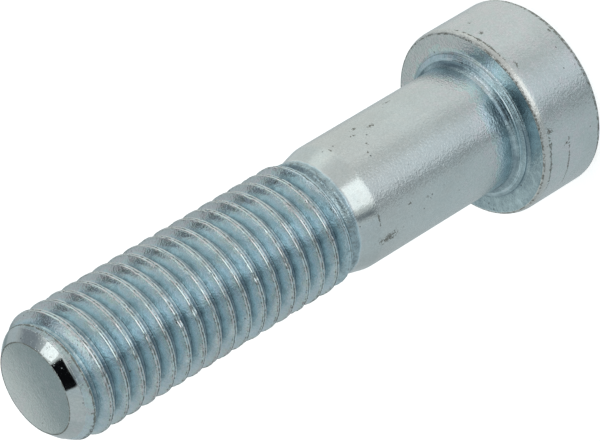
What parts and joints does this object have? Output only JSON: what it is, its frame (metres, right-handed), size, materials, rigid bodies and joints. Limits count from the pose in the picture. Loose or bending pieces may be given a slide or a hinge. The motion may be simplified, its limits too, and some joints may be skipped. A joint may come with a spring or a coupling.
{
  "type": "cheese head bolt",
  "caption": "Zinc-plated steel bolt with a low cylindrical head, hexagon socket, plain upper shank and right-hand threaded lower shank with a chamfered tip.",
  "frame": {"origin": "centre of the head's end face, which stands on the floor", "axes": "+Z along the bolt's axis from the head to the threaded tip"},
  "size_m": [0.0208, 0.0208, 0.0685],
  "materials": {
    "zinc_steel": "bright zinc plate with a pale blue passivated tint, satin on the head and shank"
  },
  "bodies": {
    "root": {"bolt": "zinc_steel"}
  },
  "joints": []
}
